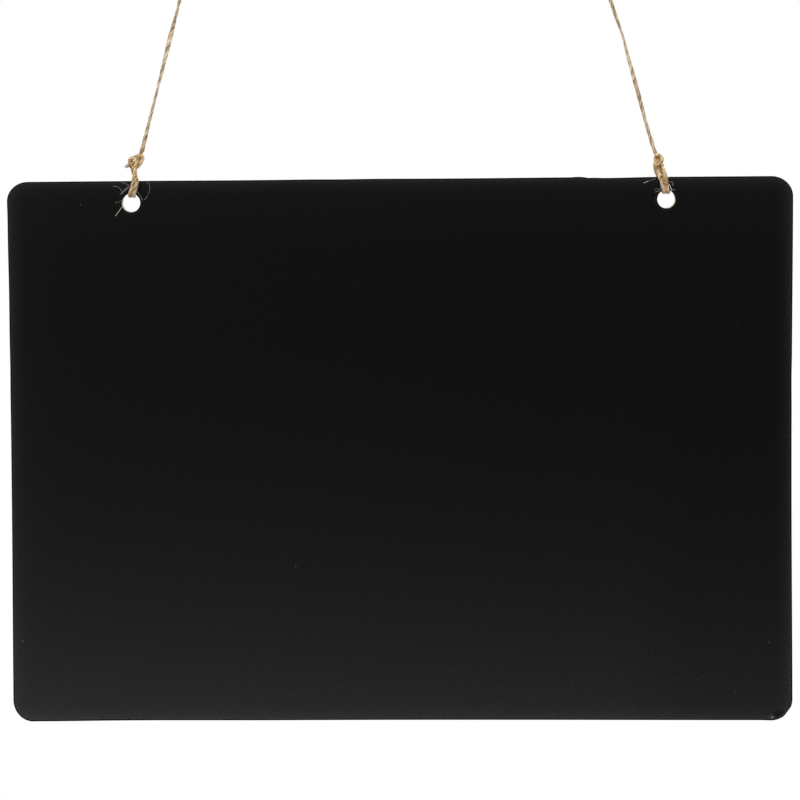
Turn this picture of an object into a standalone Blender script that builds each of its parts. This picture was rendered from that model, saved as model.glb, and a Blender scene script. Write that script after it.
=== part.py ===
"""Wall chalkboard: a thin two-faced panel tied to jute twine at two corner holes.

Units are metres, Z is up and the front looks along -Y. The origin lies on the panel's
centre line, at the height of the two nails or hooks that hold the twine's eyes up.
"""

import math

import bmesh
import bpy
from mathutils import Euler, Vector

MILLIMETRE = 0.001

# Panel
PANEL_WIDTH = 0.330
PANEL_HEIGHT = 0.229
PANEL_THICKNESS = 0.003
CORNER_RADIUS = 0.009
EASED_EDGE = 0.0003
FACE_THICKNESS = 0.0002
FACE_BOND_GAP = 0.0001

# Corner holes that the twine is tied through
HOLE_DIAMETER = 0.0079
HOLE_SPACING = 0.2252
HOLE_BELOW_TOP = 0.0095

# Twine
TWINE_DIAMETER = 0.0015
TWINE_END_GAP = 0.0003
FLEX_TIP_DIAMETER = 0.0001
FLEX_ABOVE_HOLES = 0.022
NAILS_ABOVE_HOLES = 0.1115
LEFT_NAIL_OUT = 0.0849
RIGHT_NAIL_OUT = 0.0805
LEFT_EYE_LEAN = math.radians(14.4)
RIGHT_EYE_LEAN = math.radians(17.3)
LEFT_STRAND_BOW = 0.00015
RIGHT_STRAND_BOW = 0.0005

# Counts
CORNER_STEPS = 10
HOLE_STEPS = 48
STRAND_POINTS = 25
TWINE_BEVEL_RESOLUTION = 2
SMOOTH_STEPS = 16
MOST_TURN = math.radians(16)
MOST_STEP = 2 * TWINE_DIAMETER

# Places that follow from the sizes
TWINE_RADIUS = TWINE_DIAMETER / 2
CORE_THICKNESS = PANEL_THICKNESS - 2 * (FACE_THICKNESS + FACE_BOND_GAP)
HOLE_RADIUS = HOLE_DIAMETER / 2
HOLE_Z = -NAILS_ABOVE_HOLES
PANEL_Z = HOLE_Z + HOLE_BELOW_TOP - PANEL_HEIGHT / 2
FLEX_Z = HOLE_Z + FLEX_ABOVE_HOLES
LEFT_HOLE = Vector((-HOLE_SPACING / 2, 0, HOLE_Z))
RIGHT_HOLE = Vector((HOLE_SPACING / 2, 0, HOLE_Z))
LEFT_NAIL = Vector((-LEFT_NAIL_OUT, 0, 0))
RIGHT_NAIL = Vector((RIGHT_NAIL_OUT, 0, 0))

# Routes of the tied ends, in millimetres from the hole's centre: across, away from the viewer, up.
# Each comes down from the bend above the knot, takes two turns through the hole and over the
# panel's top edge, goes back up, and closes round the strand in an overhand knot.
LEFT_KNOT_ROUTE = [
    (4.45, 0, 22.0), (4.1, 0.35, 20.7), (3.4, 0.75, 19.55), (2.9, 0.5, 18.25), (2.6, 0.3, 16.9),
    (2.3, 0, 15.6), (2.05, -0.4, 14.3), (2.0, -1.15, 13.1), (2.15, -2.15, 12.2), (2.35, -3.2, 11.25),
    (2.45, -3.85, 10.05), (2.5, -3.95, 8.65), (2.35, -3.7, 7.3), (2.15, -3.25, 5.95), (1.9, -2.85, 4.65),
    (1.65, -2.45, 3.35), (1.55, -1.8, 2.7), (1.4, -0.4, 2.6), (1.3, 1.0, 2.6), (1.15, 2.1, 3.05),
    (1.05, 2.45, 3.9), (0.9, 2.5, 5.3), (0.9, 2.5, 6.7), (1.0, 2.5, 8.1), (1.15, 2.45, 9.5),
    (1.2, 2.1, 10.35), (1.25, 1.3, 10.8), (1.25, -0.1, 10.85), (1.25, -1.45, 10.45), (1.05, -2.3, 9.7),
    (0.9, -2.45, 8.7), (0.55, -2.45, 7.35), (0.2, -2.45, 6.0), (-0.15, -2.45, 4.65), (-0.35, -2.25, 3.5),
    (-0.45, -1.5, 3.0), (-0.6, -0.1, 2.95), (-0.75, 1.3, 2.9), (-0.9, 2.15, 3.25), (-1.05, 2.75, 4.45),
    (-1.05, 3.25, 5.75), (-0.9, 3.8, 7.0), (-0.55, 4.2, 8.3), (-0.05, 4.25, 9.6), (0.45, 4.05, 10.9),
    (0.7, 3.6, 12.2), (0.65, 3.0, 13.45), (0.05, 2.55, 14.65), (-0.7, 2.5, 15.8), (-1.15, 2.1, 17.1),
    (-0.95, 1.4, 18.1), (-0.25, 0.45, 18.8), (0.8, -0.35, 19.25), (2.05, -0.95, 19.55), (3.35, -1.35, 19.9),
    (4.3, -1.45, 19.85), (5.0, -1.0, 19.45), (5.2, 0.15, 18.65), (4.85, 1.35, 18.05), (3.9, 2.25, 17.6),
    (2.5, 2.5, 17.35), (1.6, 2.3, 17.15), (0.8, 1.3, 16.6), (0.3, 0.25, 15.85), (-0.35, -0.55, 15.5),
    (-1.2, -0.9, 15.55), (-2.3, -0.9, 15.9),
]
RIGHT_KNOT_ROUTE = [
    (-5.3, 0, 22.0), (-4.95, 0, 20.65), (-4.5, 0.25, 19.35), (-4.0, 1.1, 18.35), (-3.4, 1.5, 17.5),
    (-3.0, 1.3, 16.65), (-2.9, 0.6, 15.45), (-2.25, -0.15, 14.5), (-1.75, -0.6, 13.25), (-1.25, -1.05, 12.0),
    (-0.85, -1.7, 10.85), (-0.5, -2.45, 9.7), (-0.2, -2.75, 8.4), (-0.1, -2.85, 7.0), (0.05, -2.8, 5.6),
    (0.45, -2.6, 4.3), (0.8, -2.05, 3.15), (0.95, -1.2, 2.85), (1.05, 0.2, 2.8), (1.1, 1.6, 2.85),
    (1.05, 2.35, 3.45), (0.8, 2.5, 4.75), (0.4, 2.5, 6.1), (-0.1, 2.5, 7.4), (-0.65, 2.5, 8.65),
    (-1.3, 2.45, 9.9), (-1.8, 2.05, 10.65), (-2.35, 1.2, 11.0), (-2.75, -0.15, 10.9), (-2.9, -1.45, 10.45),
    (-2.8, -2.25, 9.85), (-2.6, -2.5, 8.6), (-2.25, -2.5, 7.25), (-2.0, -2.5, 5.85), (-1.7, -2.45, 4.5),
    (-1.35, -2.25, 3.35), (-1.15, -1.45, 2.8), (-1.05, -0.05, 2.8), (-1.05, 1.35, 2.85), (-1.1, 2.2, 3.3),
    (-1.45, 2.55, 4.45), (-1.85, 2.6, 5.75), (-2.35, 2.6, 7.1), (-2.85, 2.6, 8.4), (-3.4, 2.7, 9.65),
    (-3.85, 2.75, 11.0), (-4.25, 2.85, 12.35), (-4.5, 2.95, 13.7), (-4.6, 2.45, 15.0), (-4.95, 1.55, 16.0),
    (-4.9, 0.4, 16.5), (-4.15, -0.6, 17.25), (-3.1, -1.05, 17.9), (-2.25, -1.1, 17.75), (-1.6, -0.65, 17.2),
    (-1.05, 0.3, 16.35), (-0.95, 1.4, 15.6), (-1.5, 1.95, 14.95), (-2.25, 2.15, 14.15), (-3.1, 1.45, 13.35),
    (-3.7, 0.25, 12.95), (-4.4, -0.65, 12.6), (-4.9, -0.9, 12.35),
]
# Route of a hanging eye, in millimetres from the nail: across, away from the viewer, up along the
# strand's lean. It rises from the strand, goes over the nail and closes in the same overhand knot.
EYE_ROUTE = [
    (0, 0, -26.35), (0, 0, -24.9), (0, 0.5, -23.5), (0, 0.9, -22.0), (-0.2, 0.5, -20.4),
    (-0.3, 0.1, -18.6), (-0.9, -0.1, -16.6), (-1.9, -0.1, -14.3), (-3.0, -0.1, -11.7), (-3.8, -0.1, -8.9),
    (-4.1, 0, -6.1), (-3.7, 0, -3.3), (-2.4, 0, -0.8), (0, 0, 0.75), (2.3, 0.1, -0.7),
    (3.7, 0.2, -3.2), (4.2, 0.5, -6.1), (4.1, 0.9, -8.9), (3.8, 1.4, -11.7), (3.4, 1.9, -14.3),
    (3.0, 2.2, -16.5), (2.8, 2.2, -17.9), (3.55, 1.9, -19.3), (3.6, 0.3, -20.8), (2.6, -1.0, -22.0),
    (1.1, -1.6, -22.9), (-0.4, -1.7, -23.5), (-1.7, -0.9, -23.2), (-2.2, 0.8, -22.3), (-1.4, 2.4, -21.4),
    (0, 2.9, -20.9), (1.1, 2.3, -20.4), (1.7, 0.9, -19.5), (2.0, -0.3, -18.5), (2.9, -0.9, -17.6),
    (4.1, -1.0, -17.1),
]


def clear_scene():
    """Remove everything that the start-up scene holds."""
    for thing in list(bpy.data.objects):
        bpy.data.objects.remove(thing, do_unlink=True)


def material(name, colour, roughness):
    """Make a plain material of one colour."""
    made = bpy.data.materials.new(name)
    made.use_nodes = True
    shader = made.node_tree.nodes["Principled BSDF"]
    shader.inputs["Base Color"].default_value = (*colour, 1)
    shader.inputs["Roughness"].default_value = roughness
    return made


def panel_outline(inset):
    """Return the rounded outline of the panel as (x, z) points, moved in by the inset."""
    half_width = PANEL_WIDTH / 2
    half_height = PANEL_HEIGHT / 2
    points = []
    for quarter, (side, level) in enumerate(((1, 1), (-1, 1), (-1, -1), (1, -1))):
        centre_x = side * (half_width - CORNER_RADIUS)
        centre_z = PANEL_Z + level * (half_height - CORNER_RADIUS)
        for step in range(CORNER_STEPS + 1):
            angle = math.radians(90) * (quarter + step / CORNER_STEPS)
            reach = CORNER_RADIUS - inset
            points.append((centre_x + reach * math.cos(angle), centre_z + reach * math.sin(angle)))
    return points


def hole_outline(centre, radius):
    """Return a circle of (x, z) points round a hole's centre."""
    angles = [math.tau * step / HOLE_STEPS for step in range(HOLE_STEPS)]
    return [(centre.x + radius * math.cos(a), centre.z + radius * math.sin(a)) for a in angles]


def plate(name, levels, looks):
    """Build a plate with both holes through it.

    Each level is (y, easing): the outline moves in by the easing there and the holes grow by it.
    """
    shape = bmesh.new()
    end_edges = ([], [])
    loops = [lambda ease: panel_outline(ease)]
    for centre in (LEFT_HOLE, RIGHT_HOLE):
        loops.append(lambda ease, centre=centre: hole_outline(centre, HOLE_RADIUS + ease))
    for loop in loops:
        rings = []
        for y, ease in levels:
            rings.append([shape.verts.new((x, y, z)) for x, z in loop(ease)])
        for ring, following in zip(rings, rings[1:]):
            for i in range(len(ring)):
                j = (i + 1) % len(ring)
                shape.faces.new((ring[i], ring[j], following[j], following[i]))
        for end, ring in zip(end_edges, (rings[0], rings[-1])):
            for i, vert in enumerate(ring):
                end.append(shape.edges.get((vert, ring[(i + 1) % len(ring)])))
    for end in end_edges:
        bmesh.ops.triangle_fill(shape, use_beauty=True, use_dissolve=False, edges=end)
    bmesh.ops.recalc_face_normals(shape, faces=shape.faces)
    mesh = bpy.data.meshes.new(name)
    shape.to_mesh(mesh)
    shape.free()
    mesh.materials.append(looks)
    made = bpy.data.objects.new(name, mesh)
    bpy.context.scene.collection.objects.link(made)
    return made


def smooth_curve(points):
    """Return closely spaced points of a centripetal curve through the route's points."""
    ends = [2 * points[0] - points[1], *points, 2 * points[-1] - points[-2]]
    curve = []
    for before, start, end, after in zip(ends, ends[1:], ends[2:], ends[3:]):
        t0 = 0
        t1 = t0 + math.sqrt((start - before).length)
        t2 = t1 + math.sqrt((end - start).length)
        t3 = t2 + math.sqrt((after - end).length)
        for step in range(SMOOTH_STEPS):
            t = t1 + (t2 - t1) * step / SMOOTH_STEPS
            a1 = before.lerp(start, (t - t0) / (t1 - t0))
            a2 = start.lerp(end, (t - t1) / (t2 - t1))
            a3 = end.lerp(after, (t - t2) / (t3 - t2))
            b1 = a1.lerp(a2, (t - t0) / (t2 - t0))
            b2 = a2.lerp(a3, (t - t1) / (t3 - t1))
            curve.append(b1.lerp(b2, (t - t1) / (t2 - t1)))
    curve.append(points[-1])
    return curve


def thinned(curve):
    """Keep the points of a smooth curve that its bends need, and one at least every step."""
    kept = [curve[0]]
    heading = curve[1] - curve[0]
    walked = 0
    for last, point, following in zip(curve, curve[1:], curve[2:]):
        walked += (point - last).length
        if (following - point).angle(heading) > MOST_TURN or walked > MOST_STEP:
            kept.append(point)
            heading = following - point
            walked = 0
    kept.append(curve[-1])
    return kept


def least_gap(points):
    """Return the least surface gap of a tube to itself, past its own bend."""
    samples = []
    walked = 0
    for start, end in zip(points, points[1:]):
        count = max(1, math.ceil((end - start).length / (TWINE_DIAMETER / 10)))
        for step in range(count):
            samples.append((walked + (end - start).length * step / count, start.lerp(end, step / count)))
        walked += (end - start).length
    nearest = walked
    for i, (along, point) in enumerate(samples):
        for other_along, other in samples[i + 1:]:
            if other_along - along > 2 * TWINE_DIAMETER:
                nearest = min(nearest, (other - point).length)
    return nearest - TWINE_DIAMETER


def flex_tip(points):
    """Return the points and radii of a tube whose first end narrows to the point where it flexes."""
    heading = (points[1] - points[0]).normalized()
    tip = points[0] + heading * TWINE_END_GAP / 2
    shoulder = tip + heading * TWINE_RADIUS
    clear = [p for p in points[1:] if (p - points[0]).dot(heading) > TWINE_END_GAP / 2 + 2 * TWINE_RADIUS]
    radii = [FLEX_TIP_DIAMETER / TWINE_DIAMETER] + [1] * (1 + len(clear))
    return [tip, shoulder, *clear], radii


def tube(name, points, radii, looks):
    """Build a stretch of twine as a round tube with closed ends."""
    curve = bpy.data.curves.new(name, "CURVE")
    curve.dimensions = "3D"
    curve.bevel_depth = TWINE_RADIUS
    curve.bevel_resolution = TWINE_BEVEL_RESOLUTION
    curve.use_fill_caps = True
    spline = curve.splines.new("POLY")
    spline.points.add(len(points) - 1)
    for target, point, radius in zip(spline.points, points, radii):
        target.co = (*point, 1)
        target.radius = radius
    curve.materials.append(looks)
    made = bpy.data.objects.new(name, curve)
    bpy.context.scene.collection.objects.link(made)
    return made


def knot(name, route, hole, looks):
    """Build a tied end of the twine round one hole, and print its least gap to itself."""
    points = [hole + Vector(point) * MILLIMETRE for point in route]
    points[0].z = FLEX_Z
    curve = thinned(smooth_curve(points))
    print(f"{name}: least gap to itself {least_gap(curve) / MILLIMETRE:.2f} mm")
    made = tube(name, *flex_tip(curve), looks)
    return made, points[0]


def eye(name, nail, turn, looks):
    """Build a hanging eye round a nail, and return it with the point where its strand begins."""
    points = [nail + turn @ (Vector(point) * MILLIMETRE) for point in EYE_ROUTE]
    curve = thinned(smooth_curve(points))
    print(f"{name}: least gap to itself {least_gap(curve) / MILLIMETRE:.2f} mm")
    made = tube(name, curve, [1] * len(curve), looks)
    outward = (points[0] - points[1]).normalized()
    return made, points[0] + outward * TWINE_END_GAP


def strand(name, flex, top, bow, looks):
    """Build the straight stretch from a knot's flex point up to its eye, with its slight bow."""
    points = []
    for step in range(STRAND_POINTS):
        share = step / (STRAND_POINTS - 1)
        point = flex.lerp(top, share)
        point.x += 4 * share * (1 - share) * bow
        points.append(point)
    return tube(name, *flex_tip(points), looks)


def main():
    """Build every piece, and hang what swings from its axis."""
    clear_scene()
    wood = material("hardboard", (0.45, 0.34, 0.20), 0.8)
    chalk_front = material("front_chalk_paint", (0.012, 0.012, 0.012), 0.85)
    chalk_back = material("back_chalk_paint", (0.014, 0.014, 0.014), 0.85)
    twines = [material(f"jute_{i}", (0.50, 0.36, 0.20), 0.95) for i in range(6)]

    front_y = -PANEL_THICKNESS / 2
    core_y = CORE_THICKNESS / 2
    core_levels = [
        (-core_y, EASED_EDGE),
        (EASED_EDGE - core_y, 0),
        (core_y - EASED_EDGE, 0),
        (core_y, EASED_EDGE),
    ]
    board_core = plate("board_core", core_levels, wood)
    front_levels = [(front_y, EASED_EDGE), (front_y + FACE_THICKNESS, EASED_EDGE)]
    front_face = plate("front_chalk_face", front_levels, chalk_front)
    back_levels = [(-front_y - FACE_THICKNESS, EASED_EDGE), (-front_y, EASED_EDGE)]
    back_face = plate("back_chalk_face", back_levels, chalk_back)

    left_knot, left_flex = knot("left_knot", LEFT_KNOT_ROUTE, LEFT_HOLE, twines[0])
    right_knot, right_flex = knot("right_knot", RIGHT_KNOT_ROUTE, RIGHT_HOLE, twines[1])
    left_turn = Euler((0, LEFT_EYE_LEAN, 0)).to_matrix()
    right_turn = Euler((0, -RIGHT_EYE_LEAN, 0)).to_matrix() @ Euler((0, 0, math.pi)).to_matrix()
    _, left_top = eye("left_hanging_loop", LEFT_NAIL, left_turn, twines[2])
    _, right_top = eye("right_hanging_loop", RIGHT_NAIL, right_turn, twines[3])
    strand("left_strand", left_flex, left_top, LEFT_STRAND_BOW, twines[4])
    strand("right_strand", right_flex, right_top, RIGHT_STRAND_BOW, twines[5])

    swing = bpy.data.objects.new("board_swing", None)
    swing.location = (0, 0, FLEX_Z)
    bpy.context.scene.collection.objects.link(swing)
    bpy.context.view_layer.update()
    for piece in (board_core, front_face, back_face, left_knot, right_knot):
        piece.parent = swing
        piece.matrix_parent_inverse = swing.matrix_world.inverted()


main()
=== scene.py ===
"""Dressed scene of a wall chalkboard: a thin black panel hung by jute twine knotted at two corner holes."""

import enum
import logging
import math
import random
from dataclasses import dataclass, field
from typing import Sequence

import bmesh
import bpy
from mathutils import Matrix, Quaternion, Vector, kdtree, noise


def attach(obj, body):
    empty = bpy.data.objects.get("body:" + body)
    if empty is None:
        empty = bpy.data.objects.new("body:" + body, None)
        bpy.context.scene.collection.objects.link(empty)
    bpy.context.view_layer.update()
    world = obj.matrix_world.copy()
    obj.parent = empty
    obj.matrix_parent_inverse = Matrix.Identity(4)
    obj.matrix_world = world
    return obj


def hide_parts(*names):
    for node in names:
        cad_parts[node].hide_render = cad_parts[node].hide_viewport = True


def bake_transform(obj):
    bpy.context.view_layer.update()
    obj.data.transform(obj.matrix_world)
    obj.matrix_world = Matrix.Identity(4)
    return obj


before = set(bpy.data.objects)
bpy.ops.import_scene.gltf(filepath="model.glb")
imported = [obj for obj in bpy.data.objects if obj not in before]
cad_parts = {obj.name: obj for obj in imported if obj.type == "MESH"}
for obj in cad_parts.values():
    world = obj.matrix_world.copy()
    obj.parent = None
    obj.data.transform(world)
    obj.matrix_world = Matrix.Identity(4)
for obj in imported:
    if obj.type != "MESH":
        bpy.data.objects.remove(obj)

MILLIMETRE = 0.001
HOLE_OUT = 0.1126
HOLE_LEVEL = -0.1115
HOLE_BELOW_TOP = 0.0095
PANEL_HEIGHT = 0.229
PANEL_MIDDLE = HOLE_LEVEL + HOLE_BELOW_TOP - PANEL_HEIGHT / 2
LOG = logging.getLogger("wall_chalkboard")

Colour = tuple[float, float, float]
Point = tuple[float, float, float]
Range = tuple[float, float]
Material = bpy.types.Material
Piece = bpy.types.Object
Socket = bpy.types.NodeSocket
Shape = bmesh.types.BMesh
Face = bmesh.types.BMFace
Vert = bmesh.types.BMVert


# Shared helpers


def display(red: float, green: float, blue: float) -> Colour:
    """Turn a colour as a screen shows it, from 0 to 255, into the linear values that shaders take.

    Args:
        red: Red as shown.
        green: Green as shown.
        blue: Blue as shown.

    Returns:
        The linear colour.
    """

    def linear(value: float) -> float:
        """Return one channel's linear value."""
        share = value / 255
        return share / 12.92 if share <= 0.04045 else ((share + 0.055) / 1.055) ** 2.4

    return linear(red), linear(green), linear(blue)


def link_object(name: str, data: bpy.types.ID) -> Piece:
    """Make an object from its data and put it in the scene.

    Args:
        name: The piece's name.
        data: Its mesh, curve, light or camera.

    Returns:
        The new object.
    """
    made = bpy.data.objects.new(name, data)
    bpy.context.scene.collection.objects.link(made)
    return made


def finish_mesh(name: str, shape: Shape, looks: Sequence[Material], smooth: bool) -> Piece:
    """Turn a finished bmesh into a piece.

    Args:
        name: The piece's name.
        shape: The bmesh, which is freed.
        looks: Its materials, in the order of the faces' material numbers.
        smooth: Whether its faces shade smoothly.

    Returns:
        The new object.
    """
    mesh = bpy.data.meshes.new(name)
    shape.to_mesh(mesh)
    shape.free()
    for look in looks:
        mesh.materials.append(look)
    mesh.polygons.foreach_set("use_smooth", [smooth] * len(mesh.polygons))
    return link_object(name, mesh)


# The Mix node's sockets for its share, its two colours and its result
MIX_SHARE = 0
MIX_COLOURS = (6, 7)
MIX_RESULT = 2
# A thinning share, such as the painted sheen, is followed over this many of the widths in which it thins to a
# third
THIN_OUT = 5
# The values that a cloudy noise mostly stays between
USUAL_NOISE: Range = (0.3, 0.7)


class Recipe:
    """The node tree of one material, with short calls for the nodes that the finishes use."""

    def __init__(self, name: str) -> None:
        """Start a material that holds a Principled shader and its output.

        Args:
            name: The material's name.
        """
        self.material = bpy.data.materials.new(name)
        self.material.use_nodes = True
        self.tree = self.material.node_tree
        self.shader = self.tree.nodes["Principled BSDF"]

    def node(self, kind: str, **inputs: object) -> bpy.types.Node:
        """Add a node and set or link its inputs.

        Args:
            kind: The node's type name.
            inputs: Input names, with underscores for spaces, and what each gets.

        Returns:
            The new node.
        """
        made = self.tree.nodes.new(kind)
        for name, value in inputs.items():
            self.feed(made.inputs[name.replace("_", " ")], value)
        return made

    def feed(self, socket: Socket, value: object) -> None:
        """Link an output to a socket, or set the socket's own value.

        Args:
            socket: The socket.
            value: The output or the value.
        """
        if isinstance(value, Socket):
            self.tree.links.new(value, socket)
        else:
            socket.default_value = value

    def place(self) -> Socket:
        """Return the object coordinates."""
        return self.node("ShaderNodeTexCoord").outputs["Object"]

    def along(self, axis: str) -> Socket:
        """Return the object coordinate along one axis, X, Y or Z."""
        return self.node("ShaderNodeSeparateXYZ", Vector=self.place()).outputs[axis]

    def unwrapped(self) -> Socket:
        """Return the piece's own unwrapped coordinates."""
        return self.node("ShaderNodeTexCoord").outputs["UV"]

    def attribute(self, name: str) -> Socket:
        """Return the value of one of the mesh's own attributes.

        Args:
            name: The attribute's name.

        Returns:
            Its value.
        """
        made = self.node("ShaderNodeAttribute")
        made.attribute_name = name
        return made.outputs["Fac"]

    def stretched(self, source: Socket, scale: Point, shift: Point = (0, 0, 0)) -> Socket:
        """Return coordinates that are scaled along each axis and then moved."""
        made = self.node("ShaderNodeMapping", Vector=source, Scale=scale, Location=shift)
        return made.outputs["Vector"]

    def grain(self, source: Socket, scale: float, detail: float, rough: float, swirl: float = 0) -> Socket:
        """Return a cloudy noise between 0 and 1."""
        looks = {"Scale": scale, "Detail": detail, "Roughness": rough, "Distortion": swirl}
        return self.node("ShaderNodeTexNoise", Vector=source, **looks).outputs["Fac"]

    def span(self, value: Socket, low: float, high: float, to_low: float = 0, to_high: float = 1) -> Socket:
        """Return a value mapped from one range to another and held inside it."""
        ends = {"From_Min": low, "From_Max": high, "To_Min": to_low, "To_Max": to_high}
        return self.node("ShaderNodeMapRange", Value=value, **ends).outputs["Result"]

    def thinning(self, value: Socket, start: float, width: float) -> Socket:
        """Return 1 at a place, which thins to a third over each width beyond it."""
        return self.sum("EXPONENT", self.span(value, start, start + THIN_OUT * width, 0, -THIN_OUT))

    def near(self, source: Socket, centre: Point, radius: float, soft: float) -> Socket:
        """Return 1 within a radius of a point, falling to 0 over the soft width."""
        return self.span(self.vector("DISTANCE", source, centre), radius + soft, radius)

    def operate(self, kind: str, operation: str, values: Sequence[object]) -> bpy.types.Node:
        """Add a node that does one sum.

        Args:
            kind: The node's type name.
            operation: The sum's name.
            values: What its inputs get, in their order.

        Returns:
            The new node.
        """
        made = self.node(kind)
        made.operation = operation
        for socket, value in zip(made.inputs, values):
            self.feed(socket, value)
        return made

    def sum(self, operation: str, *values: object) -> Socket:
        """Return the result of one sum on numbers."""
        return self.operate("ShaderNodeMath", operation, values).outputs[0]

    def vector(self, operation: str, *values: object) -> Socket:
        """Return the result of one sum on vectors, which is a number for a length or a distance."""
        made = self.operate("ShaderNodeVectorMath", operation, values)
        return made.outputs["Value" if operation in ("LENGTH", "DISTANCE") else "Vector"]

    def mix(self, share: object, *colours: Socket | Colour) -> Socket:
        """Return the mix of two colours.

        Args:
            share: The share of the second.
            colours: The two.

        Returns:
            The mixed colour.
        """
        made = self.node("ShaderNodeMix")
        made.data_type = "RGBA"
        self.feed(made.inputs[MIX_SHARE], share)
        for number, colour in zip(MIX_COLOURS, colours):
            self.feed(made.inputs[number], (*colour, 1) if isinstance(colour, tuple) else colour)
        return made.outputs[MIX_RESULT]

    def ramp(self, value: Socket, stops: Sequence[tuple[float, Colour]]) -> Socket:
        """Return a colour read from a ramp.

        Args:
            value: Where on the ramp to read.
            stops: The ramp's places and colours, from 0 to 1.

        Returns:
            The colour.
        """
        made = self.node("ShaderNodeValToRGB", Fac=value)
        elements = made.color_ramp.elements
        while len(elements) < len(stops):
            elements.new(0.5)
        for element, (place, colour) in zip(elements, stops):
            element.position = place
            element.color = (*colour, 1)
        return made.outputs["Color"]

    def bump(self, height: Socket, strength: float, distance: float) -> Socket:
        """Return a normal that a height bends."""
        made = self.node("ShaderNodeBump", Height=height, Strength=strength, Distance=distance)
        return made.outputs["Normal"]

    def finish(
        self, colour: Socket, roughness: float, specular: float = 0.5, normal: Socket | None = None
    ) -> Material:
        """Give the shader what it shows.

        Args:
            colour: The base colour.
            roughness: The roughness.
            specular: The specular level.
            normal: The normal, where the surface has its own.

        Returns:
            The material.
        """
        self.feed(self.shader.inputs["Base Color"], colour)
        self.shader.inputs["Roughness"].default_value = roughness
        self.shader.inputs["Specular IOR Level"].default_value = specular
        if normal is not None:
            self.feed(self.shader.inputs["Normal"], normal)
        return self.material


# Finishes


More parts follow.
